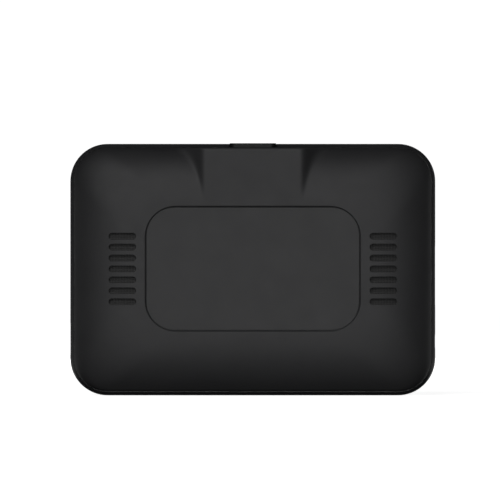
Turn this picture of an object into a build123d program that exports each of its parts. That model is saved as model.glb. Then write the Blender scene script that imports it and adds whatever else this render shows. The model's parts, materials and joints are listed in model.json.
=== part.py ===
from build123d import *
from math import atan2, cos, degrees, radians, sin, sqrt
import os

# Windscreen radar detector: a slim slab whose display faces the driver (+Y) and whose domed
# back faces the road (-Y).  Z is up.  The origin is under the middle of the case, on the
# plane that its bottom edge stands on.  All lengths are millimetres.

# ---- driving dimensions of the case -------------------------------------------------------
width = 100.0
height = 68.9
corner_radius = 10.2
front_y = 10.0
rear_y = -10.0
parting_y = 1.5  # the line between front bezel and rear cover
mid_z = height / 2

rim_width = 0.95  # band of bezel that shows around the cover
seam_gap = 0.2
seat_y = parting_y + 1.2  # ledge inside the bezel that the cover's skirt stands on
bezel_wall = 2.6
front_wall = 2.0
bezel_rear_round = 4.0  # cut off at the parting line, so that only its steep part is left
bezel_front_round = 1.6

cover_wall = 1.6
cover_inset = rim_width + seam_gap
dome_depth = parting_y - rear_y
dome_span_x = 18.0
dome_span_z = 16.6
dome_angles = range(0, 91, 15)
dome_flat_radius = 9.0
dome_power = 2 / 2.3  # the profile is a little fuller than an ellipse, whose power is 1
boss_half_width = 13.75  # flat spine that runs from the dome up to the top edge
boss_flare = 0.68  # sideways spread of the spine's flanks per unit of depth

# ---- rear panel, vents and case screws ----------------------------------------------------
panel_size = (58.0, 33.4)
panel_z = 0.25
panel_radius = 7.7
panel_thickness = 0.4
panel_round = 0.06
adhesive_thickness = 0.1
panel_gap = 0.06
panel_recess = 0.8
panel_bevel = (0.45, 0.3)  # sloped lip of the recess: its width and its depth

vent_size = (7.5, 1.85)
vent_count = 7
vent_pitch = 2.98
vent_x = 35.6
vent_z = 0.2
vent_wall = 0.8  # the cover is thinned from inside where the dust meshes sit
mesh_size = (9.6, 22.4)
mesh_thickness = 0.4
mesh_gap = 0.05
mesh_side_gap = 0.2

post_gap = 0.05  # between the cover's posts and the main board
case_screw_spots = [(x, z) for x in (-24.0, 24.0) for z in (-12.5, 12.5)]
cover_post_radius = 3.2
case_screw_seat_y = -4.0
case_head_radius = 1.9
case_head_height = 1.3
case_shank_radius = 0.98
case_shank_end_y = 4.2

# ---- display stack, from the front --------------------------------------------------------
lens_size = (80.0, 60.0)
lens_clearance = 0.15
lens_radius = 5.0
lens_front_y = front_y - 0.2
lens_thickness = 0.9
gasket_thickness = 0.2
display_size = (76.0, 57.0)
panel_cell_y = (6.8, 7.9)
backlight_y = (4.9, 6.8)
chassis_y = (4.4, 4.9)
chassis_size = (79.0, 59.6)
chassis_tab_spots = [(x, z) for x in (-42.3, 42.3) for z in (-26.5, 26.5)]
chassis_post_radius = 2.1
pilot_radius = 0.75
chassis_screw_shank = 0.73
chassis_screw_head = (1.5, 0.9)  # radius, height
chassis_screw_tip_y = 7.4
sensor_hole_radius = 1.3

# ---- main board ---------------------------------------------------------------------------
board_size = (92.0, 60.0)
board_y = (1.4, 2.6)
board_radius = 6.5
board_notch = (22.0, 5.5)

# ---- radar, laser and position receivers --------------------------------------------------
horn_size = (32.0, 20.0)
horn_z = -6.0
horn_y = (-7.6, 0.6)
horn_mouth = (26.0, 15.0)
waveguide_size = (10.7, 4.3)
waveguide_y = -1.6
laser_z = 11.6
laser_holder = 12.0
laser_bore_radius = 4.8
laser_front_y = -7.9
gps_spot = (-35.5, 18.7)
gps_size = 13.0
gps_front_y = -1.4
cell_spot = (-36.0, -20.0)
cell_radius = 5.0
cell_thickness = 2.0
cell_gap = 0.3  # between the cell and the board

# ---- speaker ------------------------------------------------------------------------------
speaker_spot = (35.85, 0.0)
speaker_size = (14.0, 24.0)
speaker_front_y = -3.6
speaker_back_y = 0.6
speaker_floor = 0.8
magnet_size = (8.5, 15.0, 1.4)
cone_size = (10.6, 20.6)
cone_y = -2.6

# ---- bracket socket in the top edge -------------------------------------------------------
socket_size = (12.6, 11.8)
socket_y = -2.1
socket_top = height + 0.07
socket_floor = 62.8
socket_bottom = 60.6
socket_hole = (socket_size[0] + 0.3, socket_size[1] + 0.3)
socket_hole_radius = 1.6
pocket_size = (8.8, 7.8)
socket_ear_y = (-3.4, -2.2)
socket_screw_spots = [(x, 28.4) for x in (-9.0, 9.0)]  # (X, Z from the middle)
socket_post_radius = 2.1
socket_screw_length = 4.0
socket_screw_head = (1.4, 0.9)  # radius, height

# ---- side connectors, on the bezel's flanks -----------------------------------------------
usb_spot = (4.7, -19.0)  # (Y, Z from the middle)
usb_mouth_x = -48.8
usb_opening = (3.6, 9.4)  # in the bezel
usb_shell = (3.2, 9.0)
usb_wall = 0.32
usb_depth = 7.4
card_size = (11.0, 15.0, 0.8)
card_spot = (3.6, 1.8)
card_outer_x = -49.3
card_socket_x = (-47.2, -33.0)
card_socket_top_y = 4.3
jack_spot = (5.45, -19.7)
jack_nose_radius = 2.5
jack_bore_radius = 1.8
jack_face_x = 49.7
jack_bore_end_x = 40.6
jack_body_x = (39.9, 47.2)

# ---- volume rocker on the +X flank --------------------------------------------------------
rocker_z = -1.7
rocker_length = 18.3
rocker_width = 4.0
rocker_y = 5.8
rocker_clearance = 0.3
rocker_face_x = 49.95
rocker_pivot_x = 46.0
rocker_pin_radius = 0.6
rocker_bore_radius = 0.63
rocker_inner_x = 47.0
rocker_hub = 2.2
rocker_pin_y = (3.4, 7.9)
rocker_bracket_x = (43.0, 46.8)
rocker_switch_x = (43.0, 46.65)
rocker_switch_offset = 6.6

# ---- four keys beside the display ---------------------------------------------------------
key_names = ("power_key", "menu_key", "mode_key", "mute_key")
key_x = -44.3
key_top_z = 18.5
key_pitch = 9.7
key_size = (4.4, 7.4)
key_clearance = 0.15
key_face_y = front_y - 0.05
key_flange_y = (7.1, 7.9)
key_flange_extra = 0.4
key_round = 0.4
key_board_y = (4.7, 5.3)
key_board_size = (4.6, 36.0)
key_board_z = 4.0
plunger_radius = 0.9
switch_height = 0.8
plunger_gap = 0.35

os.makedirs("parts", exist_ok=True)
made = []


def across(y):
    """Sketch plane that faces the road at depth y: sketch x is X, sketch y is height above the middle."""
    return Plane(origin=(0, y, mid_z), x_dir=(1, 0, 0), z_dir=(0, -1, 0))


def along(x):
    """Sketch plane that faces +X: sketch x is Y, sketch y is height above the middle."""
    return Plane(origin=(x, 0, mid_z), x_dir=(0, 1, 0), z_dir=(1, 0, 0))


def finish(builder, name):
    """Labels a finished piece and writes its file."""
    builder.part.label = name
    export_step(builder.part, f"parts/{name}.step")
    made.append(builder.part)


# ---- front bezel --------------------------------------------------------------------------
def key_spots():
    """The keys' centres, from the top one down."""
    return [(key_x, key_top_z - n * key_pitch) for n in range(len(key_names))]


with BuildPart() as front_bezel:
    with BuildSketch(across(front_y)):
        RectangleRounded(width, height, corner_radius)
    round_depth = sqrt(bezel_rear_round**2 - (bezel_rear_round - rim_width) ** 2)
    extrude(amount=front_y - parting_y - round_depth + bezel_rear_round)
    fillet(front_bezel.faces().sort_by(Axis.Y)[-1].edges(), bezel_front_round)
    fillet(front_bezel.faces().sort_by(Axis.Y)[0].edges(), bezel_rear_round)
    with BuildSketch(across(parting_y)):
        Rectangle(width, height)
    extrude(amount=bezel_rear_round, mode=Mode.SUBTRACT)
    # the cavity, with the ledge that the rear cover stands on
    with BuildSketch(across(front_y - front_wall)):
        RectangleRounded(width - 2 * bezel_wall, height - 2 * bezel_wall, corner_radius - bezel_wall)
    extrude(amount=front_y - front_wall - parting_y, mode=Mode.SUBTRACT)
    with BuildSketch(across(seat_y)):
        RectangleRounded(width - 2 * rim_width, height - 2 * rim_width, corner_radius - rim_width)
    extrude(amount=seat_y - parting_y, mode=Mode.SUBTRACT)
    # posts for the display chassis
    with BuildSketch(across(front_y - front_wall)):
        with Locations(*chassis_tab_spots):
            Circle(chassis_post_radius)
    extrude(amount=front_y - front_wall - chassis_y[1])
    with BuildSketch(across(front_y - front_wall - 0.2)):
        with Locations(*chassis_tab_spots):
            Circle(pilot_radius)
    extrude(amount=front_y - front_wall - 0.2 - chassis_y[1], mode=Mode.SUBTRACT)
    # lens recess and the display window through its floor
    with BuildSketch(across(front_y)):
        RectangleRounded(
            lens_size[0] + 2 * lens_clearance, lens_size[1] + 2 * lens_clearance, lens_radius + lens_clearance
        )
    extrude(amount=front_y - lens_front_y + lens_thickness + gasket_thickness, mode=Mode.SUBTRACT)
    with BuildSketch(across(front_y)):
        RectangleRounded(display_size[0] - 2, display_size[1] - 2, 2)
    extrude(amount=front_wall, mode=Mode.SUBTRACT)
    # key windows and the light sensor's hole
    with BuildSketch(across(front_y)):
        with Locations(*key_spots()):
            RectangleRounded(key_size[0] + 2 * key_clearance, key_size[1] + 2 * key_clearance, 2.3)
        with Locations((-key_x, key_top_z)):
            Circle(sensor_hole_radius)
    extrude(amount=front_wall, mode=Mode.SUBTRACT)
    # connector openings through the flanks
    with BuildSketch(along(-width / 2)):
        with Locations(usb_spot):
            RectangleRounded(*usb_opening, usb_opening[0] / 2 - 0.1)
        with Locations(card_spot):
            RectangleRounded(1.2, 12.0, 0.5)
    extrude(amount=bezel_wall, mode=Mode.SUBTRACT)
    with BuildSketch(along(width / 2 - bezel_wall)):
        with Locations(jack_spot):
            Circle(jack_nose_radius + 0.15)
        with Locations((rocker_y, rocker_z)):
            RectangleRounded(rocker_width + 2 * rocker_clearance, rocker_length + 2 * rocker_clearance, 2.0)
    extrude(amount=bezel_wall, mode=Mode.SUBTRACT)
    # notch for the bracket socket in the top wall
    with BuildSketch(Plane.XY.offset(height)):
        with Locations((0, socket_y)):
            RectangleRounded(*socket_hole, socket_hole_radius)
    extrude(amount=-bezel_wall - 1.0, mode=Mode.SUBTRACT)
finish(front_bezel, "front_bezel")


# ---- rear cover ---------------------------------------------------------------------------
def dome(wall):
    """The domed back with its spine and straight skirt, shrunk by wall on every side."""
    with BuildPart() as shape:
        for angle in dome_angles:
            inset = 1 - cos(radians(angle)) ** dome_power
            rise = sin(radians(angle)) ** dome_power
            section_width = width - 2 * (cover_inset + wall + dome_span_x * inset)
            section_height = height - 2 * (cover_inset + wall + dome_span_z * inset)
            skirt_radius = corner_radius - cover_inset - wall
            section_radius = skirt_radius + (dome_flat_radius - skirt_radius) * inset
            with BuildSketch(across(parting_y - (dome_depth - wall) * rise)):
                RectangleRounded(section_width, section_height, section_radius)
        loft()
        # the spine: a wedge that reaches the top edge at full depth
        spine_half = boss_half_width - 0.8 * wall
        spine_foot = spine_half + boss_flare * (dome_depth - wall)
        with BuildSketch(Plane.XY.offset(mid_z)):
            Polygon(
                (-spine_half, rear_y + wall),
                (spine_half, rear_y + wall),
                (spine_foot, parting_y),
                (-spine_foot, parting_y),
                align=None,
            )
        extrude(amount=mid_z - cover_inset - wall)
        # the skirt that drops into the bezel
        skirt_inset = 2 * (cover_inset + wall)
        with BuildSketch(across(seat_y)):
            RectangleRounded(width - skirt_inset, height - skirt_inset, corner_radius - cover_inset - wall)
        extrude(amount=seat_y - parting_y)
    return shape.part


def behind_vents(solid, x_positions, grow):
    """The part of a solid that lies behind the vent columns at these X positions."""
    with BuildPart() as piece:
        add(solid)
        with BuildSketch(across(0)):
            with Locations(*[(x, vent_z) for x in x_positions]):
                RectangleRounded(mesh_size[0] + 2 * grow, mesh_size[1] + 2 * grow, 1.0 + grow)
        extrude(amount=-rear_y, mode=Mode.INTERSECT)
    return piece.part


cover_outside = dome(0)
cover_inside = dome(cover_wall)
vent_pockets = behind_vents(dome(vent_wall), (-vent_x, vent_x), mesh_side_gap)

with BuildPart() as rear_cover:
    add(cover_outside)
    add(cover_inside, mode=Mode.SUBTRACT)
    add(vent_pockets, mode=Mode.SUBTRACT)
    # posts that press the main board against its standoffs, and posts for the bracket socket
    with BuildSketch(across(board_y[0] - post_gap)):
        with Locations(*case_screw_spots):
            Circle(cover_post_radius)
    extrude(amount=board_y[0] - post_gap - (rear_y + panel_recess + 0.4))
    with BuildSketch(across(socket_ear_y[0])):
        with Locations(*socket_screw_spots):
            Circle(socket_post_radius)
    extrude(amount=socket_ear_y[0] - (rear_y + cover_wall / 2))
    with BuildSketch(across(socket_ear_y[0])):
        with Locations(*socket_screw_spots):
            Circle(pilot_radius)
    extrude(amount=socket_screw_length, mode=Mode.SUBTRACT)
    # recess for the rear panel, screw counterbores and screw holes
    with BuildSketch(across(rear_y + panel_recess)):
        with Locations((0, panel_z)):
            RectangleRounded(
                panel_size[0] + 2 * panel_gap, panel_size[1] + 2 * panel_gap, panel_radius + panel_gap
            )
    extrude(amount=panel_recess + 1, mode=Mode.SUBTRACT)
    mouth_extra = 2 * (panel_gap + panel_bevel[0])
    with BuildSketch(across(rear_y)):
        with Locations((0, panel_z)):
            RectangleRounded(
                panel_size[0] + mouth_extra, panel_size[1] + mouth_extra, panel_radius + mouth_extra / 2
            )
    extrude(amount=-panel_bevel[1], taper=degrees(atan2(*panel_bevel)), mode=Mode.SUBTRACT)
    with BuildSketch(across(case_screw_seat_y)):
        with Locations(*case_screw_spots):
            Circle(case_head_radius + 0.2)
    extrude(amount=case_screw_seat_y - rear_y, mode=Mode.SUBTRACT)
    with BuildSketch(across(board_y[0])):
        with Locations(*case_screw_spots):
            Circle(case_shank_radius + 0.17)
    extrude(amount=board_y[0] - rear_y, mode=Mode.SUBTRACT)
    # window in front of the laser sensor, hidden behind the rear panel
    with BuildSketch(across(0)):
        with Locations((0, laser_z)):
            Circle(laser_bore_radius)
    extrude(amount=-rear_y, mode=Mode.SUBTRACT)
    # two columns of vent slots
    with BuildSketch(across(0)):
        with Locations((0, vent_z)):
            with GridLocations(2 * vent_x, vent_pitch, 2, vent_count):
                SlotOverall(*vent_size)
    extrude(amount=-rear_y, mode=Mode.SUBTRACT)
    # opening for the bracket socket
    with BuildSketch(Plane.XY.offset(height)):
        with Locations((0, socket_y)):
            RectangleRounded(*socket_hole, socket_hole_radius)
    extrude(amount=socket_floor - height, mode=Mode.SUBTRACT)
finish(rear_cover, "rear_cover")

with BuildPart() as rear_panel:
    with BuildSketch(across(rear_y + panel_recess - adhesive_thickness)):
        with Locations((0, panel_z)):
            RectangleRounded(*panel_size, panel_radius)
    extrude(amount=panel_thickness)
    fillet(rear_panel.faces().sort_by(Axis.Y)[0].edges(), panel_round)
finish(rear_panel, "rear_panel")

with BuildPart() as panel_adhesive:
    with BuildSketch(across(rear_y + panel_recess)):
        with Locations((0, panel_z)):
            RectangleRounded(panel_size[0] - 1, panel_size[1] - 1, panel_radius - 0.5)
        with Locations(*case_screw_spots):
            Circle(case_head_radius + 0.4, mode=Mode.SUBTRACT)
        with Locations((0, laser_z)):
            Circle(laser_bore_radius + 0.3, mode=Mode.SUBTRACT)
    extrude(amount=adhesive_thickness)
finish(panel_adhesive, "panel_adhesive")

mesh_outside = dome(vent_wall + mesh_gap)
mesh_inside = dome(vent_wall + mesh_gap + mesh_thickness)
for name, x in (("vent_mesh_left", -vent_x), ("vent_mesh_right", vent_x)):
    with BuildPart() as vent_mesh:
        add(behind_vents(mesh_outside, (x,), 0))
        add(mesh_inside, mode=Mode.SUBTRACT)
    finish(vent_mesh, name)


# ---- screws -------------------------------------------------------------------------------
def screws(spots, seat_y_value, head_radius, head_height, shank_radius, tip_y):
    """Cross-recess machine screws along Y: heads behind seat_y_value, shanks to tip_y."""
    toward_front = tip_y > seat_y_value
    sign = 1 if toward_front else -1
    head_plane = seat_y_value - sign * head_height
    with BuildPart() as row:
        with BuildSketch(across(seat_y_value)):
            with Locations(*spots):
                Circle(head_radius)
        extrude(amount=sign * head_height)
        with BuildSketch(across(seat_y_value)):
            with Locations(*spots):
                Circle(shank_radius)
        extrude(amount=seat_y_value - tip_y)
        with BuildSketch(across(head_plane)):
            with Locations(*spots):
                Rectangle(head_radius * 1.1, head_radius * 0.28)
                Rectangle(head_radius * 0.28, head_radius * 1.1)
        extrude(amount=-sign * head_height * 0.6, mode=Mode.SUBTRACT)
    return row


case_screws = screws(
    case_screw_spots,
    case_screw_seat_y,
    case_head_radius,
    case_head_height,
    case_shank_radius,
    case_shank_end_y,
)
finish(case_screws, "case_screws")

# ---- display stack ------------------------------------------------------------------------
lens_back_y = lens_front_y - lens_thickness
with BuildPart() as cover_lens:
    with BuildSketch(across(lens_front_y)):
        RectangleRounded(*lens_size, lens_radius)
    extrude(amount=lens_thickness)
    chamfer(cover_lens.faces().sort_by(Axis.Y)[-1].edges(), 0.15)
finish(cover_lens, "cover_lens")

with BuildPart() as lens_gasket:
    with BuildSketch(across(lens_back_y)):
        RectangleRounded(lens_size[0] - 0.6, lens_size[1] - 0.6, lens_radius - 0.3)
        RectangleRounded(display_size[0] - 1.6, display_size[1] - 1.6, 2.2, mode=Mode.SUBTRACT)
    extrude(amount=gasket_thickness)
finish(lens_gasket, "lens_gasket")

with BuildPart() as lcd_gasket:
    with BuildSketch(across(front_y - front_wall)):
        Rectangle(display_size[0] - 0.6, display_size[1] - 0.6)
        Rectangle(display_size[0] - 1.8, display_size[1] - 1.8, mode=Mode.SUBTRACT)
    extrude(amount=front_y - front_wall - panel_cell_y[1])
finish(lcd_gasket, "lcd_gasket")

with BuildPart() as lcd_panel:
    with BuildSketch(across(panel_cell_y[1])):
        Rectangle(*display_size)
    extrude(amount=panel_cell_y[1] - panel_cell_y[0])
finish(lcd_panel, "lcd_panel")

with BuildPart() as lcd_backlight:
    with BuildSketch(across(backlight_y[1])):
        RectangleRounded(*display_size, 0.8)
    extrude(amount=backlight_y[1] - backlight_y[0])
finish(lcd_backlight, "lcd_backlight")

with BuildPart() as display_chassis:
    with BuildSketch(across(chassis_y[1])):
        RectangleRounded(*chassis_size, 1.5)
        with Locations(*chassis_tab_spots):
            Circle(chassis_post_radius + 0.5)
        with GridLocations(chassis_size[0], 2 * chassis_tab_spots[1][1], 2, 2):
            Rectangle(4.0, 4.0)
        with Locations(*chassis_tab_spots):
            Circle(chassis_screw_shank + 0.17, mode=Mode.SUBTRACT)
        with Locations((20, 0), (-20, 0)):
            RectangleRounded(14, 18, 2, mode=Mode.SUBTRACT)
    extrude(amount=chassis_y[1] - chassis_y[0])
finish(display_chassis, "display_chassis")

chassis_screws = screws(
    chassis_tab_spots, chassis_y[0], *chassis_screw_head, chassis_screw_shank, chassis_screw_tip_y
)
finish(chassis_screws, "chassis_screws")

with BuildPart() as board_standoffs:
    with BuildSketch(across(chassis_y[0])):
        with Locations(*case_screw_spots):
            RegularPolygon(2.4, 6)
        with Locations(*case_screw_spots):
            Circle(case_shank_radius + 0.02, mode=Mode.SUBTRACT)
    extrude(amount=chassis_y[0] - board_y[1])
finish(board_standoffs, "board_standoffs")

# ---- main board and what stands on it -----------------------------------------------------
with BuildPart() as main_board:
    with BuildSketch(across(board_y[1])):
        RectangleRounded(*board_size, board_radius)
        with Locations((0, board_size[1] / 2)):
            Rectangle(board_notch[0], 2 * board_notch[1], mode=Mode.SUBTRACT)
        with Locations(*case_screw_spots):
            Circle(case_shank_radius + 0.12, mode=Mode.SUBTRACT)
    extrude(amount=board_y[1] - board_y[0])
finish(main_board, "main_board")


def blocks(name, sides, entries):
    """Rectangular parts between two depths; each entry is (x, z from the middle, width, height)."""
    with BuildPart() as group:
        for x, z, block_width, block_height in entries:
            with BuildSketch(across(sides[1])):
                with Locations((x, z)):
                    Rectangle(block_width, block_height)
            extrude(amount=sides[1] - sides[0])
    finish(group, name)


# processor and memory face the display, the low-frequency parts face the back
blocks("processor", (board_y[1], board_y[1] + 1.1), [(-6, -3, 13, 13)])
blocks(
    "board_chips",
    (board_y[1], board_y[1] + 0.9),
    [(9, 5, 10, 8), (9, -7, 10, 8), (-14, 16, 6, 6), (12, 20, 5, 7), (-30, -22, 7, 5), (31, 17, 6, 6)],
)
blocks("flex_connector", (board_y[1], board_y[1] + 1.3), [(0, -22, 24, 3.2)])
blocks("rf_shield", (-0.9, board_y[0]), [(20.5, 21.2, 24, 10.5)])

# ---- radar receiver -----------------------------------------------------------------------
with BuildPart() as radar_horn:
    with BuildSketch(across(horn_y[1])):
        with Locations((0, horn_z)):
            RectangleRounded(*horn_size, 1.2)
    extrude(amount=horn_y[1] - horn_y[0])
    # the flared mouth and the waveguide behind it
    with BuildSketch(across(waveguide_y)):
        with Locations((0, horn_z)):
            Rectangle(*waveguide_size)
    with BuildSketch(across(horn_y[0])):
        with Locations((0, horn_z)):
            Rectangle(*horn_mouth)
    loft(mode=Mode.SUBTRACT)
    with BuildSketch(across(horn_y[1])):
        with Locations((0, horn_z)):
            Rectangle(*waveguide_size)
    extrude(amount=horn_y[1] - waveguide_y, mode=Mode.SUBTRACT)
finish(radar_horn, "radar_horn")
blocks("radar_board", (horn_y[1], board_y[0]), [(0, horn_z, 34, 20)])

# ---- laser and position receivers ---------------------------------------------------------
with BuildPart() as laser_holder_body:
    with BuildSketch(across(board_y[0])):
        with Locations((0, laser_z)):
            RectangleRounded(laser_holder, laser_holder - 0.6, 1.0)
            Circle(laser_bore_radius - 0.4, mode=Mode.SUBTRACT)
    extrude(amount=board_y[0] - laser_front_y)
finish(laser_holder_body, "laser_holder")

with BuildPart() as laser_lens:
    with BuildSketch(across(laser_front_y + 1.8)):
        with Locations((0, laser_z)):
            Circle(laser_bore_radius - 0.4)
    extrude(amount=1.6)
    fillet(laser_lens.faces().sort_by(Axis.Y)[0].edges(), 0.9)
finish(laser_lens, "laser_lens")
blocks("laser_photodiode", (0.2, board_y[0]), [(0, laser_z, 4.2, 4.2)])
blocks("gps_antenna", (gps_front_y, board_y[0]), [(*gps_spot, gps_size, gps_size)])

# ---- power parts --------------------------------------------------------------------------
with BuildPart() as regulator_heatsink:
    with BuildSketch(across(0.2)):
        with Locations((-vent_x, -1.0)):
            Rectangle(12, 18)
    extrude(amount=1.0)
    with BuildSketch(across(-0.8)):
        with Locations((-vent_x, -1.0)):
            with GridLocations(0, 3.4, 1, 6):
                Rectangle(12, 0.9)
    extrude(amount=2.4)
finish(regulator_heatsink, "regulator_heatsink")
blocks("regulators", (0.2, board_y[0]), [(-vent_x, -5.5, 6, 6), (-vent_x, 3.5, 6, 6)])

with BuildPart() as backup_cell:
    with BuildSketch(across(board_y[0] - cell_gap)):
        with Locations(cell_spot):
            Circle(cell_radius)
    extrude(amount=cell_thickness)
finish(backup_cell, "backup_cell")

with BuildPart() as cell_holder:
    with BuildSketch(across(board_y[0])):
        with Locations(cell_spot):
            Circle(cell_radius + 1.0)
    extrude(amount=1.8)
    with BuildSketch(across(board_y[0] - cell_gap)):
        with Locations(cell_spot):
            Circle(cell_radius)
    extrude(amount=cell_thickness, mode=Mode.SUBTRACT)
finish(cell_holder, "cell_holder")

# ---- speaker ------------------------------------------------------------------------------
speaker_radius = speaker_size[0] / 2 - 0.05
with BuildPart() as speaker_frame:
    with BuildSketch(across(speaker_back_y)):
        with Locations(speaker_spot):
            RectangleRounded(*speaker_size, speaker_radius)
    extrude(amount=speaker_back_y - speaker_front_y)
    with BuildSketch(across(speaker_back_y - speaker_floor)):
        with Locations(speaker_spot):
            RectangleRounded(cone_size[0] + 0.5, cone_size[1] + 0.5, cone_size[0] / 2 + 0.2)
    extrude(amount=speaker_back_y - speaker_floor - speaker_front_y, mode=Mode.SUBTRACT)
finish(speaker_frame, "speaker_frame")

with BuildPart() as speaker_magnet:
    with BuildSketch(across(speaker_back_y - speaker_floor)):
        with Locations(speaker_spot):
            RectangleRounded(magnet_size[0], magnet_size[1], 2)
    extrude(amount=magnet_size[2])
finish(speaker_magnet, "speaker_magnet")

with BuildPart() as speaker_cone:
    with BuildSketch(across(cone_y)):
        with Locations(speaker_spot):
            RectangleRounded(*cone_size, cone_size[0] / 2 - 0.05)
    extrude(amount=0.3)
    with BuildSketch(across(cone_y - 0.3)):
        with Locations(speaker_spot):
            RectangleRounded(cone_size[0] - 4, cone_size[1] - 4, cone_size[0] / 2 - 2.05)
    extrude(amount=0.35)
finish(speaker_cone, "speaker_cone")

with BuildPart() as speaker_gasket:
    with BuildSketch(across(speaker_front_y)):
        with Locations(speaker_spot):
            RectangleRounded(speaker_size[0] - 0.6, speaker_size[1] - 0.6, speaker_radius - 0.3)
            RectangleRounded(*cone_size, cone_size[0] / 2 - 0.05, mode=Mode.SUBTRACT)
    extrude(amount=0.8)
finish(speaker_gasket, "speaker_gasket")

# ---- bracket socket -----------------------------------------------------------------------
with BuildPart() as mount_socket:
    with BuildSketch(Plane.XY.offset(socket_bottom)):
        with Locations((0, socket_y)):
            RectangleRounded(*socket_size, socket_hole_radius - 0.15)
    extrude(amount=socket_top - socket_bottom)
    # ears that carry the two screws
    for x, z in socket_screw_spots:
        with BuildSketch(across(socket_ear_y[1])):
            with Locations((x, z)):
                Circle(socket_post_radius)
            with Locations((x * 0.8, z)):
                Rectangle(abs(x) * 0.4, 2 * socket_post_radius)
            with Locations((x, z)):
                Circle(chassis_screw_shank + 0.17, mode=Mode.SUBTRACT)
        extrude(amount=socket_ear_y[1] - socket_ear_y[0])
    # the pocket, with undercuts that a bracket's foot turns or snaps into
    with BuildSketch(Plane.XY.offset(socket_floor)):
        with Locations((0, socket_y)):
            RectangleRounded(*pocket_size, 0.8)
    extrude(amount=socket_top - socket_floor, mode=Mode.SUBTRACT)
    with BuildSketch(Plane.XY.offset(socket_top)):
        with Locations((0, socket_y)):
            RectangleRounded(pocket_size[0] + 0.8, pocket_size[1] + 0.8, 1.2)
    extrude(amount=-0.4, taper=45, mode=Mode.SUBTRACT)
    with BuildSketch(Plane.XY.offset(socket_floor)):
        with Locations((0, socket_y)):
            Rectangle(pocket_size[0] + 1.8, 3.6)
    extrude(amount=2.4, mode=Mode.SUBTRACT)
finish(mount_socket, "mount_socket")

with BuildPart() as mount_contacts:
    with BuildSketch(Plane.XY.offset(socket_floor)):
        with Locations((0, socket_y)):
            with GridLocations(1.8, 2.4, 4, 1):
                Circle(0.5)
    extrude(amount=0.6)
finish(mount_contacts, "mount_contacts")

socket_screws = screws(
    socket_screw_spots,
    socket_ear_y[1],
    *socket_screw_head,
    chassis_screw_shank,
    socket_ear_y[0] - socket_screw_length + 0.3,
)
finish(socket_screws, "socket_screws")

# ---- side connectors ----------------------------------------------------------------------
with BuildPart() as usb_port:
    with BuildSketch(along(usb_mouth_x)):
        with Locations(usb_spot):
            RectangleRounded(*usb_shell, usb_shell[0] / 2 - 0.1)
    extrude(amount=usb_depth)
    with BuildSketch(along(usb_mouth_x)):
        with Locations(usb_spot):
            RectangleRounded(usb_shell[0] - 2 * usb_wall, usb_shell[1] - 2 * usb_wall, 1.25)
    extrude(amount=usb_depth - 1.2, mode=Mode.SUBTRACT)
    with BuildSketch(along(usb_mouth_x + 1.0)):
        with Locations(usb_spot):
            Rectangle(0.7, 6.6)
    extrude(amount=6.0)
finish(usb_port, "usb_port")

card_length, card_breadth, card_thickness = card_size[1], card_size[0], card_size[2]
card_y, card_z = card_spot
with BuildPart() as card_socket:
    with BuildSketch(along(card_socket_x[0])):
        with Locations(((board_y[1] + card_socket_top_y) / 2, card_z)):
            Rectangle(card_socket_top_y - board_y[1], card_breadth + 1.8)
        with Locations((card_y, card_z)):
            Rectangle(card_thickness + 0.12, card_breadth + 0.12, mode=Mode.SUBTRACT)
    extrude(amount=card_socket_x[1] - card_socket_x[0])
    with BuildSketch(along(card_socket_x[1] - 0.6)):
        with Locations((card_y, card_z)):
            Rectangle(card_thickness + 0.3, card_breadth + 0.3)
    extrude(amount=0.6)
finish(card_socket, "card_socket")

with BuildPart() as memory_card:
    with BuildSketch(along(card_outer_x)):
        with Locations((card_y, card_z)):
            Rectangle(card_thickness, card_breadth)
    extrude(amount=card_length)
    # the keyed corner at the inner end
    with BuildSketch(across(card_y)):
        with Locations((card_outer_x + card_length, card_z + card_breadth / 2)):
            Rectangle(3.0, 2.6)
    extrude(amount=card_thickness, both=True, mode=Mode.SUBTRACT)
finish(memory_card, "memory_card")

with BuildPart() as power_jack:
    with BuildSketch(along(jack_body_x[0])):
        with Locations(jack_spot):
            Rectangle(2 * jack_nose_radius, 7.0)
    extrude(amount=jack_body_x[1] - jack_body_x[0])
    with BuildSketch(along(jack_body_x[1])):
        with Locations(jack_spot):
            Circle(jack_nose_radius)
    extrude(amount=jack_face_x - jack_body_x[1])
    with BuildSketch(along(jack_bore_end_x)):
        with Locations(jack_spot):
            Circle(jack_bore_radius)
    extrude(amount=jack_face_x - jack_bore_end_x, mode=Mode.SUBTRACT)
finish(power_jack, "power_jack")

# ---- volume rocker ------------------------------------------------------------------------
with BuildPart() as volume_rocker:
    with BuildSketch(along(rocker_inner_x)):
        with Locations((rocker_y, rocker_z)):
            RectangleRounded(rocker_width, rocker_length, 1.7)
    extrude(amount=rocker_face_x - rocker_inner_x)
    fillet(volume_rocker.faces().sort_by(Axis.X)[-1].edges(), 0.4)
    with BuildSketch(across(rocker_y + rocker_hub / 2)):
        with Locations((rocker_pivot_x, rocker_z)):
            Circle(1.5)
        with Locations(((rocker_pivot_x + rocker_inner_x) / 2, rocker_z)):
            Rectangle(rocker_inner_x - rocker_pivot_x + 0.4, 2.4)
    extrude(amount=rocker_hub)
    with BuildSketch(across(rocker_y + rocker_hub / 2)):
        with Locations((rocker_pivot_x, rocker_z)):
            Circle(rocker_bore_radius)
    extrude(amount=rocker_hub, mode=Mode.SUBTRACT)
finish(volume_rocker, "volume_rocker")

with BuildPart() as rocker_pin:
    with BuildSketch(across(rocker_pin_y[1])):
        with Locations((rocker_pivot_x, rocker_z)):
            Circle(rocker_pin_radius)
    extrude(amount=rocker_pin_y[1] - rocker_pin_y[0])
finish(rocker_pin, "rocker_pin")

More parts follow.
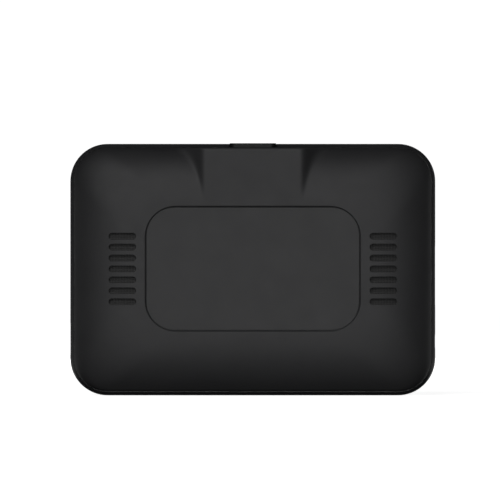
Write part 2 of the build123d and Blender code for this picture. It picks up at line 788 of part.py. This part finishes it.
with BuildPart() as rocker_bracket:
    with BuildSketch(across(rocker_pin_y[1])):
        with Locations((rocker_bracket_x[0] + 0.4, rocker_z)):
            Rectangle(0.8, 6.0)
    extrude(amount=rocker_pin_y[1] - board_y[1])
    ears = ((rocker_pin_y[0], rocker_pin_y[0] + 1.0), (rocker_pin_y[1] - 0.8, rocker_pin_y[1]))
    for ear_low, ear_high in ears:
        with BuildSketch(across(ear_high)):
            with Locations(((rocker_bracket_x[0] + rocker_bracket_x[1]) / 2, rocker_z)):
                Rectangle(rocker_bracket_x[1] - rocker_bracket_x[0], 3.0)
        extrude(amount=ear_high - ear_low)
    with BuildSketch(across(rocker_pin_y[1])):
        with Locations((rocker_pivot_x, rocker_z)):
            Circle(rocker_pin_radius)
    extrude(amount=rocker_pin_y[1] - rocker_pin_y[0], mode=Mode.SUBTRACT)
finish(rocker_bracket, "rocker_bracket")

with BuildPart() as rocker_switches:
    for side in (-1, 1):
        with BuildSketch(across(rocker_y + 1.6)):
            with Locations((rocker_switch_x[0] + 1.2, rocker_z + side * rocker_switch_offset)):
                Rectangle(2.4, 3.4)
        extrude(amount=rocker_y + 1.6 - board_y[1])
        with BuildSketch(along(rocker_switch_x[0] + 2.4)):
            with Locations((rocker_y, rocker_z + side * rocker_switch_offset)):
                Circle(plunger_radius)
        extrude(amount=rocker_switch_x[1] - rocker_switch_x[0] - 2.4)
finish(rocker_switches, "rocker_switches")

# ---- front keys ---------------------------------------------------------------------------
for key_name, spot in zip(key_names, key_spots()):
    with BuildPart() as key:
        with BuildSketch(across(key_face_y)):
            with Locations(spot):
                RectangleRounded(*key_size, key_size[0] / 2 - 0.05)
        extrude(amount=key_face_y - key_flange_y[1])
        fillet(key.faces().sort_by(Axis.Y)[-1].edges(), key_round)
        with BuildSketch(across(key_flange_y[1])):
            with Locations(spot):
                RectangleRounded(key_size[0] + 2 * key_flange_extra, key_size[1] + 2 * key_flange_extra, 1.0)
        extrude(amount=key_flange_y[1] - key_flange_y[0])
        with BuildSketch(across(key_flange_y[0])):
            with Locations(spot):
                Circle(plunger_radius)
        extrude(amount=key_flange_y[0] - key_board_y[1] - switch_height - plunger_gap)
    finish(key, key_name)

blocks("key_board", key_board_y, [(key_x, key_board_z, *key_board_size)])
blocks(
    "key_switches",
    (key_board_y[1], key_board_y[1] + switch_height),
    [(x, z, 3.0, 3.0) for x, z in key_spots()],
)
blocks("key_connector", (board_y[1], key_board_y[0]), [(key_x, key_board_z + 9, 3.0, 8.0)])
blocks("light_sensor", (board_y[1], 7.6), [(-key_x, key_top_z, 2.0, 2.0)])

whole = Compound(children=made)
box = whole.bounding_box()
print("pieces", len(made), "box", box.min, box.max)
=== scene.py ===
import bmesh
import bpy
import json
from math import ceil, cos, pi, radians, sin, sqrt
from mathutils import Matrix, Vector


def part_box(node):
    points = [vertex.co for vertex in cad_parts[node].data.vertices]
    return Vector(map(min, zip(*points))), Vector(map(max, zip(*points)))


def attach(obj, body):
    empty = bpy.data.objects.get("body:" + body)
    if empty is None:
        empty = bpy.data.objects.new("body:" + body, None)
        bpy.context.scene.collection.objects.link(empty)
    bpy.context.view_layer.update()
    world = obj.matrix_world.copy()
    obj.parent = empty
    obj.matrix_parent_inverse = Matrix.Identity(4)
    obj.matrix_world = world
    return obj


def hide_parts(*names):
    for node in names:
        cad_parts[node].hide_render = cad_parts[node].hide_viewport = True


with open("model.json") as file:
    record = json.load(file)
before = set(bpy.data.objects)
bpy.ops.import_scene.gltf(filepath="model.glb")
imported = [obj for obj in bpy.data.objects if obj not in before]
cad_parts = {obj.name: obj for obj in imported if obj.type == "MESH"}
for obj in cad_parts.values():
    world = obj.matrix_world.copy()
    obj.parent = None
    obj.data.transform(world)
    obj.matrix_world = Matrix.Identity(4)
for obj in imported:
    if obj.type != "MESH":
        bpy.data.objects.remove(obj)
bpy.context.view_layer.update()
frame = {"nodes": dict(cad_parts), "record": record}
nodes = frame["nodes"]
scene = bpy.context.scene
mm = 0.001
print("stage: frame loaded with", len(nodes), "nodes")


# small helpers for node materials and pieces
def makeMaterial(name):
    material = bpy.data.materials.new(name)
    material.use_nodes = True
    tree = material.node_tree
    return material, tree, tree.nodes["Principled BSDF"]


def addNode(tree, kind, **values):
    node = tree.nodes.new(kind)
    for key, value in values.items():
        if hasattr(node, key):
            setattr(node, key, value)
        else:
            node.inputs[key.replace("_", " ")].default_value = value
    return node


def objectPoint(tree, scale=1.0):
    coordinates = addNode(tree, "ShaderNodeTexCoord")
    mapping = addNode(tree, "ShaderNodeMapping")
    mapping.inputs["Scale"].default_value = (scale, scale, scale)
    tree.links.new(coordinates.outputs["Object"], mapping.inputs["Vector"])
    return mapping.outputs["Vector"]


def noise(tree, point, scale, detail=3.0, roughness=0.55):
    texture = addNode(tree, "ShaderNodeTexNoise")
    texture.inputs["Scale"].default_value = scale
    texture.inputs["Detail"].default_value = detail
    texture.inputs["Roughness"].default_value = roughness
    tree.links.new(point, texture.inputs["Vector"])
    return texture.outputs["Fac"]


def ramp(tree, factor, low, high, start=0.3, end=0.7):
    node = addNode(tree, "ShaderNodeValToRGB")
    node.color_ramp.elements[0].position = start
    node.color_ramp.elements[1].position = end
    node.color_ramp.elements[0].color = (*low, 1)
    node.color_ramp.elements[1].color = (*high, 1)
    tree.links.new(factor, node.inputs["Fac"])
    return node.outputs["Color"]


def spread(tree, factor, low, high):
    node = addNode(tree, "ShaderNodeMapRange")
    node.inputs["To Min"].default_value = low
    node.inputs["To Max"].default_value = high
    tree.links.new(factor, node.inputs["Value"])
    return node.outputs["Result"]


def bump(tree, shader, height, distance, strength=1.0, previous=None):
    node = addNode(tree, "ShaderNodeBump")
    node.inputs["Strength"].default_value = strength
    node.inputs["Distance"].default_value = distance
    tree.links.new(height, node.inputs["Height"])
    if previous is not None:
        tree.links.new(previous, node.inputs["Normal"])
    tree.links.new(node.outputs["Normal"], shader.inputs["Normal"])
    return node.outputs["Normal"]


# moulded plastic with a spark-eroded grain, soft blotches in colour and polish
def mouldedPlastic(name, dark, light, rough, grain, grainHeight, specular=0.5):
    material, tree, shader = makeMaterial(name)
    point = objectPoint(tree)
    tint = ramp(tree, noise(tree, point, 90, 4), dark, light)
    tree.links.new(tint, shader.inputs["Base Color"])
    polish = spread(tree, noise(tree, point, 260, 3), rough - 0.04, rough + 0.05)
    tree.links.new(polish, shader.inputs["Roughness"])
    shader.inputs["Specular IOR Level"].default_value = specular
    waves = bump(tree, shader, noise(tree, point, 45, 2), 0.00006, 0.25)
    bump(tree, shader, noise(tree, point, grain, 2, 0.7), grainHeight, 0.6, waves)
    return material


def newPiece(name, mesh, body, material, replaced=()):
    obj = bpy.data.objects.new(name, mesh)
    scene.collection.objects.link(obj)
    mesh.materials.clear()
    mesh.materials.append(material)
    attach(obj, body)
    if replaced:
        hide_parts(*replaced)
    return obj


def meshFrom(work, name, smoothAngle=35):
    bmesh.ops.remove_doubles(work, verts=work.verts, dist=0.000001)
    bmesh.ops.recalc_face_normals(work, faces=work.faces)
    mesh = bpy.data.meshes.new(name)
    work.to_mesh(mesh)
    work.free()
    mesh.polygons.foreach_set("use_smooth", [True] * len(mesh.polygons))
    mesh.set_sharp_from_angle(angle=radians(smoothAngle))
    return mesh


# joins or cuts a mesh with another, and gives the result as a new mesh
def combined(mesh, otherMesh, operation, smoothAngle=35):
    first = bpy.data.objects.new("first", mesh)
    second = bpy.data.objects.new("second", otherMesh)
    for obj in (first, second):
        scene.collection.objects.link(obj)
    modifier = first.modifiers.new("cut", "BOOLEAN")
    modifier.operation = operation
    modifier.solver = "EXACT"
    modifier.object = second
    bpy.context.view_layer.update()
    result = bpy.data.meshes.new_from_object(first.evaluated_get(bpy.context.evaluated_depsgraph_get()))
    for obj in (first, second):
        bpy.data.objects.remove(obj)
    result.polygons.foreach_set("use_smooth", [True] * len(result.polygons))
    result.set_sharp_from_angle(angle=radians(smoothAngle))
    return result


# adds a block with rounded edges along one axis to a bmesh
def roundedBlock(work, centre, size, radius, axis="Y", segments=8):
    made = bmesh.ops.create_cube(work, size=1.0)["verts"]
    bmesh.ops.scale(work, vec=size, verts=made)
    bmesh.ops.translate(work, vec=centre, verts=made)
    index = "XYZ".index(axis)
    edges = {e for v in made for e in v.link_edges}
    upright = [e for e in edges if abs((e.verts[0].co - e.verts[1].co)[index]) > size[index] / 2]
    bmesh.ops.bevel(
        work, geom=upright, offset=radius, segments=segments, affect="EDGES", profile=0.5, material=-1
    )


# the domed rear cover
coverLow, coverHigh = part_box("rear_cover")
bezelLow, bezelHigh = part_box("front_bezel")
panelLow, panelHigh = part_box("rear_panel")
socketLow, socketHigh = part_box("mount_socket")
middle = Vector((0, 0, (bezelLow.z + bezelHigh.z) / 2))
panelMiddle = Vector((0, 0, (panelLow.z + panelHigh.z) / 2))

coverShape = {
    "seam": bezelLow.y,  # depth of the line between cover and bezel
    "spanX": 18.0 * mm,
    "spanZ": 16.6 * mm,
    "skirtRadius": 9.05 * mm,
    "flatRadius": 11.0 * mm,
    "power": 2 / 2.3,  # the profile is a little fuller than an ellipse, whose power is 1
    "spineHalf": 13.75 * mm,
    "spineFlare": 0.77,
    "spineFoot": (0.3 * mm, 0.35),  # softness of the spine's foot, and its growth with the depth left
    "spineShoulder": 1.0 * mm,
    "spineTopEdge": 0.8 * mm,
    "wall": 1.6 * mm,
    "ventWall": 0.8 * mm,
    "ventPocket": (10.0 * mm, 22.8 * mm),
    "sideCuts": (130, 80),
    "cornerCuts": 22,
    "rings": 44,
    "recess": 0.8 * mm,
    "panelGap": 0.09 * mm,
    "panelBevel": (0.42 * mm, 0.45 * mm),
    "panelRadius": 7.7 * mm,
    "vent": (7.5 * mm, 1.85 * mm),
    "ventPitch": 2.98 * mm,
    "ventCount": 7,
    "ventCut": 8.0 * mm,  # depth that each slot's cutter reaches through
    "ventRound": 0.499,  # end radius as a share of the slot's height
    "socketCut": (12.9 * mm, 12.1 * mm, 9.6 * mm),
    "socketRadius": 1.6 * mm,
    "ventX": 35.6 * mm,
    "ventRise": 0.2 * mm,
}


def smoothMax(a, b, softness):
    near = max(softness - abs(a - b), 0) / softness
    return max(a, b) + near * near * softness / 4


def roundedRing(halfX, halfZ, radius):
    cutsX, cutsZ = coverShape["sideCuts"]
    corner = coverShape["cornerCuts"]
    innerX, innerZ = halfX - radius, halfZ - radius
    starts = [((innerX, halfZ), (-innerX, halfZ), cutsX), ((-halfX, innerZ), (-halfX, -innerZ), cutsZ)]
    starts += [((-innerX, -halfZ), (innerX, -halfZ), cutsX), ((halfX, -innerZ), (halfX, innerZ), cutsZ)]
    centres = [(-innerX, innerZ), (-innerX, -innerZ), (innerX, -innerZ), (innerX, innerZ)]
    points = []
    for side, (start, end, cuts) in enumerate(starts):
        for i in range(cuts):
            t = i / cuts
            points.append((start[0] + (end[0] - start[0]) * t, start[1] + (end[1] - start[1]) * t))
        for i in range(corner):
            angle = pi / 2 * (side + 1 + i / corner)
            x, z = centres[side]
            points.append((x + radius * cos(angle), z + radius * sin(angle)))
    return points


def spineDepth(x, edgeInset, depth):
    s = coverShape
    foot = s["spineHalf"] + s["spineFlare"] * depth
    flank = (foot - abs(x)) / s["spineFlare"]
    rise = -smoothMax(-depth, -flank, s["spineShoulder"])
    edge = s["spineTopEdge"]
    if edgeInset < edge:
        rise -= edge - sqrt(edge * edge - (edge - edgeInset) ** 2)
    return rise


# how far the dome's profile has run inwards and backwards, each as a share of its span
def domeShares(angle):
    power = coverShape["power"]
    return 1 - max(cos(angle), 0) ** power, sin(angle) ** power


def coverDepth(x, z, angle):
    s = coverShape
    full = s["seam"] - coverLow.y
    inward, backward = domeShares(angle)
    dome = full * backward
    if angle == 0 or z < 0:
        return dome
    softness = s["spineFoot"][0] + s["spineFoot"][1] * (full - dome)
    return min(smoothMax(dome, spineDepth(x, s["spanZ"] * inward, full), softness), full)


def coverSkin():
    s = coverShape
    halfX, halfZ = coverHigh.x, coverHigh.z - middle.z
    work = bmesh.new()
    first = roundedRing(halfX, halfZ, s["skirtRadius"])
    made = bmesh.ops.create_circle(work, segments=len(first), radius=1)["verts"]
    for vert, (x, z) in zip(made, first):
        vert.co = (x, coverHigh.y, z + middle.z)
    ring = made
    loop = list(work.edges)
    angles = [pi / 2 * (i / s["rings"]) ** 1.15 for i in range(s["rings"] + 1)]
    for angle in angles:
        inset = domeShares(angle)[0]
        radius = s["skirtRadius"] + (s["flatRadius"] - s["skirtRadius"]) * inset
        places = roundedRing(halfX - s["spanX"] * inset, halfZ - s["spanZ"] * inset, radius)
        grown = bmesh.ops.extrude_edge_only(work, edges=loop)["geom"]
        fresh = {v for v in grown if isinstance(v, bmesh.types.BMVert)}
        loop = [e for e in grown if isinstance(e, bmesh.types.BMEdge) and set(e.verts) <= fresh]
        ring = [next(e.other_vert(v) for e in v.link_edges if e.other_vert(v) in fresh) for v in ring]
        for vert, (x, z) in zip(ring, places):
            vert.co = (x, s["seam"] - coverDepth(x, z, angle), z + middle.z)
    bmesh.ops.contextual_create(work, geom=loop)
    return meshFrom(work, "coverSkin", 60)


# the wall is thinner behind the vents, where the dust meshes sit
def coverWalls(mesh):
    s = coverShape
    shell = bpy.data.objects.new("shell", mesh)
    scene.collection.objects.link(shell)
    group = shell.vertex_groups.new(name="wall")
    for vert in mesh.vertices:
        across = abs(abs(vert.co.x) - s["ventX"]) - s["ventPocket"][0] / 2
        along = abs(vert.co.z - middle.z - s["ventRise"]) - s["ventPocket"][1] / 2
        thin = max(across, along) < 0
        group.add([vert.index], s["ventWall"] / s["wall"] if thin else 1.0, "REPLACE")
    wall = shell.modifiers.new("wall", "SOLIDIFY")
    wall.thickness = s["wall"]
    wall.offset = -1
    wall.vertex_group = "wall"
    bpy.context.view_layer.update()
    result = bpy.data.meshes.new_from_object(shell.evaluated_get(bpy.context.evaluated_depsgraph_get()))
    bpy.data.objects.remove(shell)
    return result


def coverCutters():
    s = coverShape
    work = bmesh.new()
    gap = s["panelGap"]
    size = panelHigh - panelLow
    floor = coverLow.y + s["recess"]
    roundedBlock(
        work,
        Vector((0, floor - 1 * mm, panelMiddle.z)),
        Vector((size.x + 2 * gap, 2 * mm, size.z + 2 * gap)),
        s["panelRadius"] + gap,
        segments=14,
    )
    for side in (-1, 1):
        for n in range(s["ventCount"]):
            z = middle.z + s["ventRise"] + (n - (s["ventCount"] - 1) / 2) * s["ventPitch"]
            centre = Vector((side * s["ventX"], coverLow.y + 3 * mm, z))
            slotSize = Vector((s["vent"][0], s["ventCut"], s["vent"][1]))
            roundedBlock(work, centre, slotSize, s["vent"][1] * s["ventRound"], segments=10)
    centre = (socketLow + socketHigh) / 2
    centre.z = coverHigh.z
    centre.x = 0
    roundedBlock(work, centre, Vector(s["socketCut"]), s["socketRadius"], axis="Z", segments=8)
    return meshFrom(work, "coverCutters")


# the sloped lip around the recess
def lipCutter():
    s = coverShape
    gap = s["panelGap"]
    size = panelHigh - panelLow
    slope, lip = s["panelBevel"]
    work = bmesh.new()
    roundedBlock(
        work,
        Vector((0, coverLow.y, panelMiddle.z)),
        Vector((size.x + 2 * gap + 4 * slope, 2 * lip, size.z + 2 * gap + 4 * slope)),
        s["panelRadius"] + gap + 2 * slope,
        segments=14,
    )
    deep = [v for v in work.verts if v.co.y > coverLow.y]
    narrow = [(size[i] + 2 * gap) / (size[i] + 2 * gap + 4 * slope) for i in (0, 2)]
    bmesh.ops.scale(work, vec=(narrow[0], 1, narrow[1]), verts=deep, space=Matrix.Translation(-panelMiddle))
    return meshFrom(work, "lipCutter")


def buildRearCover(material):
    skin = coverSkin()
    shell = coverWalls(skin)
    cut = combined(combined(shell, coverCutters(), "DIFFERENCE"), lipCutter(), "DIFFERENCE")
    return newPiece("rearCoverShell", cut, "case", material, ["rear_cover"])


caseDark = (0.020, 0.020, 0.0212)
caseLight = (0.0235, 0.0235, 0.0248)
casePlastic = mouldedPlastic("casePlastic", caseDark, caseLight, 0.62, 5200, 0.00002)
panelPlastic = mouldedPlastic(
    "panelPlastic", (0.020, 0.020, 0.021), (0.0235, 0.0235, 0.0245), 0.6, 6400, 0.000016
)
rearCoverShell = buildRearCover(casePlastic)
print("stage: rear cover", len(rearCoverShell.data.polygons), "faces")


# screw posts inside the cover
postShape = {
    "screws": [(x * mm, z * mm) for x in (-24, 24) for z in (-12.5, 12.5)],
    "outer": 3.2 * mm,
    "bore": 1.15 * mm,
    "counterbore": 2.1 * mm,
    "seat": -4.0 * mm,
    "tip": 1.35 * mm,
}


def buildPosts(material):
    s = postShape
    work = bmesh.new()
    back = coverLow.y + coverShape["recess"]
    section = [(s["counterbore"], back), (s["counterbore"], s["seat"]), (s["bore"], s["seat"])]
    section += [(s["bore"], s["tip"]), (s["outer"], s["tip"]), (s["outer"], coverLow.y + coverShape["wall"])]
    for x, z in s["screws"]:
        verts = [work.verts.new((x + r, y, middle.z + z)) for r, y in section]
        edges = [work.edges.new(pair) for pair in zip(verts, verts[1:])]
        bmesh.ops.spin(
            work,
            geom=verts + edges,
            cent=(x, 0, middle.z + z),
            axis=(0, 1, 0),
            angle=2 * pi,
            steps=40,
            use_merge=True,
        )
    bmesh.ops.holes_fill(work, edges=[e for e in work.edges if e.is_boundary], sides=0)
    return newPiece("coverPosts", meshFrom(work, "coverPosts"), "case", material)


coverPosts = buildPosts(casePlastic)


# materials of the pieces that stay as designed
def wovenMesh():
    material, tree, shader = makeMaterial("wovenMesh")
    point = objectPoint(tree)
    split = addNode(tree, "ShaderNodeSeparateXYZ")
    tree.links.new(point, split.inputs[0])
    threads = []
    for axis in ("X", "Z"):
        wave = addNode(tree, "ShaderNodeMath", operation="MULTIPLY")
        wave.inputs[1].default_value = 2 * pi / (0.42 * mm)
        tree.links.new(split.outputs[axis], wave.inputs[0])
        sine = addNode(tree, "ShaderNodeMath", operation="SINE")
        tree.links.new(wave.outputs[0], sine.inputs[0])
        threads.append(sine.outputs[0])
    cross = addNode(tree, "ShaderNodeMath", operation="MAXIMUM")
    tree.links.new(threads[0], cross.inputs[0])
    tree.links.new(threads[1], cross.inputs[1])
    tint = ramp(tree, cross.outputs[0], (0.004, 0.004, 0.004), (0.03, 0.03, 0.03), 0.1, 0.8)
    tree.links.new(tint, shader.inputs["Base Color"])
    shader.inputs["Roughness"].default_value = 0.7
    bump(tree, shader, cross.outputs[0], 0.00006, 0.8)
    return material


def plainFinish(name, colour, rough, metal=0.0, grain=900, grainHeight=0.000008, spreadBy=0.04, coat=0.0):
    material, tree, shader = makeMaterial(name)
    point = objectPoint(tree)
    darker = tuple(c * 0.82 for c in colour)
    tree.links.new(ramp(tree, noise(tree, point, 220, 3), darker, colour), shader.inputs["Base Color"])
    polish = spread(tree, noise(tree, point, grain, 3), max(rough - spreadBy, 0.02), rough + spreadBy)
    tree.links.new(polish, shader.inputs["Roughness"])
    shader.inputs["Metallic"].default_value = metal
    shader.inputs["Coat Weight"].default_value = coat
    bump(tree, shader, noise(tree, point, grain * 2, 2), grainHeight, 0.5)
    return material


def mathNode(tree, operation, first, second=None):
    node = addNode(tree, "ShaderNodeMath", operation=operation)
    for index, value in enumerate((first, second)):
        if isinstance(value, (int, float)):
            node.inputs[index].default_value = value
        elif value is not None:
            tree.links.new(value, node.inputs[index])
    return node.outputs[0]


# black glass with a printed border: the display area behind it is a little lighter
def displayGlass():
    low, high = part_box("cover_lens")
    half = (high.x - low.x) / 2 - 5.5 * mm, (high.z - low.z) / 2 - 5.0 * mm
    material, tree, shader = makeMaterial("displayGlass")
    point = objectPoint(tree)
    split = addNode(tree, "ShaderNodeSeparateXYZ")
    tree.links.new(point, split.inputs[0])
    sideways = mathNode(tree, "SUBTRACT", mathNode(tree, "ABSOLUTE", split.outputs["X"]), half[0])
    height = mathNode(tree, "SUBTRACT", split.outputs["Z"], middle.z)
    upright = mathNode(tree, "SUBTRACT", mathNode(tree, "ABSOLUTE", height), half[1])
    outside = mathNode(tree, "MULTIPLY", mathNode(tree, "MAXIMUM", sideways, upright), 1 / (0.15 * mm))
    tint = ramp(tree, outside, (0.013, 0.014, 0.017), (0.004, 0.004, 0.0045), 0.0, 1.0)
    tree.links.new(tint, shader.inputs["Base Color"])
    tree.links.new(spread(tree, noise(tree, point, 300, 3), 0.05, 0.09), shader.inputs["Roughness"])
    bump(tree, shader, noise(tree, point, 120, 2), 0.000002, 0.3)
    return material


finishes = {
    "case": casePlastic,
    "panel": panelPlastic,
    "trim": plainFinish("keyPlastic", (0.012, 0.012, 0.0125), 0.42, grain=1500, grainHeight=0.000006),
    "lens": displayGlass(),
    "mesh": wovenMesh(),
    "foam": plainFinish("foam", (0.03, 0.03, 0.03), 0.9, grain=2500, grainHeight=0.00005),
    "steel": plainFinish("zincSteel", (0.55, 0.56, 0.58), 0.34, metal=1.0, grain=700),
    "shield": plainFinish("tinPlate", (0.66, 0.66, 0.66), 0.26, metal=1.0, grain=500),
    "brass": plainFinish("turnedBrass", (0.72, 0.53, 0.24), 0.3, metal=1.0),
    "gold": plainFinish("goldPlate", (0.85, 0.62, 0.26), 0.22, metal=1.0),
    "board": plainFinish("solderMask", (0.01, 0.09, 0.035), 0.35, grain=1800),
    "chip": plainFinish("chipEpoxy", (0.018, 0.018, 0.019), 0.5, grain=2600, grainHeight=0.00001),
    "alloy": plainFinish("castAlloy", (0.6, 0.61, 0.62), 0.42, metal=1.0, grain=1200, grainHeight=0.00002),
    "ceramic": plainFinish("patchCeramic", (0.62, 0.56, 0.44), 0.6, grain=900),
    "optic": plainFinish("filterGlass", (0.05, 0.004, 0.006), 0.04),
}
socketPlastic = mouldedPlastic(
    "socketPlastic", (0.004, 0.004, 0.004), (0.007, 0.007, 0.007), 0.5, 3000, 0.00001, 0.22
)
bezelPlastic = mouldedPlastic("bezelPlastic", caseDark, caseLight, 0.42, 6000, 0.000012)
ownFinish = {"front_bezel": bezelPlastic, "mount_socket": socketPlastic}
slotOf = {part["node"]: part["material_slot"] for part in frame["record"]["subparts"]}
for name, obj in nodes.items():
    for materialSlot in obj.material_slots:
        materialSlot.material = ownFinish.get(name, finishes[slotOf[name]])
print("stage: finishes")


# printed signs on the keys and the rocker
signs = {
    "proud": 0.03 * mm,
    "line": 0.32 * mm,
    "size": 2.2 * mm,
    "rockerOffset": 6.2 * mm,
    "rockerSize": 1.9 * mm,
}
signPaint = plainFinish("signPaint", (0.32, 0.32, 0.33), 0.5, grain=2200, grainHeight=0.000004)


def bar(work, centre, length, thickness, angle=0.0):
    made = bmesh.ops.create_cube(work, size=1.0)["verts"]
    bmesh.ops.scale(work, vec=(length, signs["proud"], thickness), verts=made)
    bmesh.ops.rotate(work, verts=made, cent=(0, 0, 0), matrix=Matrix.Rotation(angle, 3, "Y"))
    bmesh.ops.translate(work, vec=centre, verts=made)


def arc(work, centre, radius, start, sweep):
    half = signs["line"] / 2
    corners = [(radius - half, -1), (radius + half, -1), (radius + half, 1), (radius - half, 1)]
    places = [(centre.x + r, centre.y + side * signs["proud"] / 2, centre.z) for r, side in corners]
    verts = [work.verts.new(place) for place in places]
    face = work.faces.new(verts)
    bmesh.ops.rotate(work, verts=verts, cent=centre, matrix=Matrix.Rotation(start, 3, "Y"))
    bmesh.ops.spin(
        work,
        geom=[face],
        cent=centre,
        axis=(0, 1, 0),
        angle=sweep,
        steps=max(6, ceil(abs(sweep) / radians(12))),
    )


def powerSign(work, centre, size):
    arc(work, centre, size * 0.42, radians(-60), radians(300))
    bar(work, centre + Vector((0, 0, size * 0.32)), signs["line"], size * 0.46)


def menuSign(work, centre, size):
    for step in (-1, 0, 1):
        bar(work, centre + Vector((0, 0, step * size * 0.3)), size * 0.85, signs["line"])


def modeSign(work, centre, size):
    for step in (-1, 1):
        for lean in (-1, 1):
            bar(
                work,
                centre + Vector((lean * size * 0.16, 0, step * size * 0.27)),
                size * 0.5,
                signs["line"],
                lean * step * radians(45),
            )


def muteSign(work, centre, size):
    arc(work, centre, size * 0.42, 0, 2 * pi)
    bar(work, centre, size * 0.84, signs["line"], radians(45))


for keyName, drawSign in (
    ("power_key", powerSign),
    ("menu_key", menuSign),
    ("mode_key", modeSign),
    ("mute_key", muteSign),
):
    low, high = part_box(keyName)
    work = bmesh.new()
    face = Vector(((low.x + high.x) / 2, high.y + signs["proud"] / 2, (low.z + high.z) / 2))
    drawSign(work, face, signs["size"])
    signName = keyName.replace("_key", "Sign")
    newPiece(signName, meshFrom(work, keyName), keyName, signPaint)

low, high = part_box("volume_rocker")
work = bmesh.new()
rockerCentre = Vector((0, high.x + signs["proud"] / 2, (low.z + high.z) / 2))
for offset, upright in ((signs["rockerOffset"], True), (-signs["rockerOffset"], False)):
    place = rockerCentre + Vector((0, 0, offset))
    bar(work, place, signs["rockerSize"], signs["line"])
    if upright:
        bar(work, place, signs["line"], signs["rockerSize"])
# the signs were drawn facing +Y, so they are turned to face +X and set at the rocker's depth
bmesh.ops.rotate(work, verts=work.verts, cent=(0, 0, 0), matrix=Matrix.Rotation(-pi / 2, 3, "Z"))
bmesh.ops.translate(work, vec=(0, (low.y + high.y) / 2, 0), verts=work.verts)
newPiece("volumeSigns", meshFrom(work, "volumeSigns"), "volume_rocker", signPaint)
print("stage: signs")


# floor, backdrop, light and camera
stageSet = {
    "radius": 3.25,
    "bend": 0.12,
    "wall": 3.0,
    "steps": 96,
    "bendSteps": 12,
    "glow": (0.86, 1.0),
    "glowReach": 1.1,
}


def buildStage():
    s = stageSet
    work = bmesh.new()
    flat = s["radius"] - s["bend"]
    profile = [(0.0, 0.0)]
    for i in range(s["bendSteps"] + 1):
        angle = pi / 2 * i / s["bendSteps"]
        profile.append((flat + s["bend"] * sin(angle), s["bend"] * (1 - cos(angle))))
    profile.append((s["radius"], s["wall"]))
    verts = [work.verts.new((r, 0, z)) for r, z in profile]
    edges = [work.edges.new(pair) for pair in zip(verts, verts[1:])]
    bmesh.ops.spin(
        work,
        geom=verts + edges,
        cent=(0, 0, 0),
        axis=(0, 0, 1),
        angle=2 * pi,
        steps=s["steps"],
        use_merge=True,
    )
    mesh = meshFrom(work, "studioSweep", 60)
    sweep = bpy.data.objects.new("studioSweep", mesh)
    scene.collection.objects.link(sweep)
    material, tree, shader = makeMaterial("paperWhite")
    shader.inputs["Base Color"].default_value = (0.8, 0.8, 0.8, 1)
    shader.inputs["Roughness"].default_value = 0.9
    shader.inputs["Emission Color"].default_value = (1, 1, 1, 1)
    distance = addNode(tree, "ShaderNodeVectorMath", operation="LENGTH")
    tree.links.new(objectPoint(tree), distance.inputs[0])
    share = mathNode(tree, "MULTIPLY", distance.outputs["Value"], 1 / s["glowReach"])
    tree.links.new(spread(tree, share, *s["glow"]), shader.inputs["Emission Strength"])
    mesh.materials.append(material)
    sweep.visible_diffuse = False
    sweep.visible_glossy = False


def addLight(name, place, target, size, power):
    light = bpy.data.lights.new(name, "AREA")
    light.shape = "RECTANGLE"
    light.size, light.size_y = size
    light.energy = power
    obj = bpy.data.objects.new(name, light)
    scene.collection.objects.link(obj)
    obj.location = place
    obj.visible_camera = False
    obj.rotation_euler = (Vector(target) - Vector(place)).to_track_quat("-Z", "Y").to_euler()


buildStage()
lights = {
    "key": ((-0.42, -1.38, 0.97), middle, (0.9, 0.9), 11.2),
    "fill": ((0.1, -1.4, 0.12), middle, (0.6, 0.5), 2.6),
    "bounce": ((0.0, -0.201, 0.0004), (0, -0.201, 1), (0.5, 0.4), 0.04),
    "low": ((0.0, -0.35, 0.012), middle, (0.2, 0.02), 0.16),
    "front": ((0.75, 1.05, 0.1), middle, (0.3, 0.4), 0.15),
    "display": ((-0.05, 1.0, 0.16), middle, (0.5, 0.3), 1.1),
    "table": ((0.0, 0.257, 0.0004), (0, 0.257, 1), (0.6, 0.49), 0.37),
    "right": ((1.2, 0.25, 0.3), middle, (0.6, 0.6), 0.05),
    "left": ((-1.2, 0.25, 0.3), middle, (0.6, 0.6), 0.05),
}
for name, (place, target, size, power) in lights.items():
    addLight(name, place, target, size, power)

world = bpy.data.worlds.new("studio")
world.use_nodes = True
world.node_tree.nodes["Background"].inputs["Color"].default_value = (0.9, 0.95, 1.0, 1)
world.node_tree.nodes["Background"].inputs["Strength"].default_value = 0.02
scene.world = world
scene.view_settings.view_transform = "Standard"

cameraSet = {"distance": 3.0, "frameWidth": 136.9 * mm, "x": -0.77 * mm, "rise": 5.37 * mm}
camera = bpy.data.cameras.new("camera")
camera.sensor_width = 36
camera.lens = 36 * cameraSet["distance"] / cameraSet["frameWidth"]
camera.clip_start = 0.01
camera.clip_end = 20
cameraObject = bpy.data.objects.new("camera", camera)
scene.collection.objects.link(cameraObject)
cameraBack = coverShape["seam"] - cameraSet["distance"]
cameraObject.location = (cameraSet["x"], cameraBack, middle.z + cameraSet["rise"])
cameraObject.rotation_euler = (pi / 2, 0, 0)
scene.camera = cameraObject
print("stage: studio")
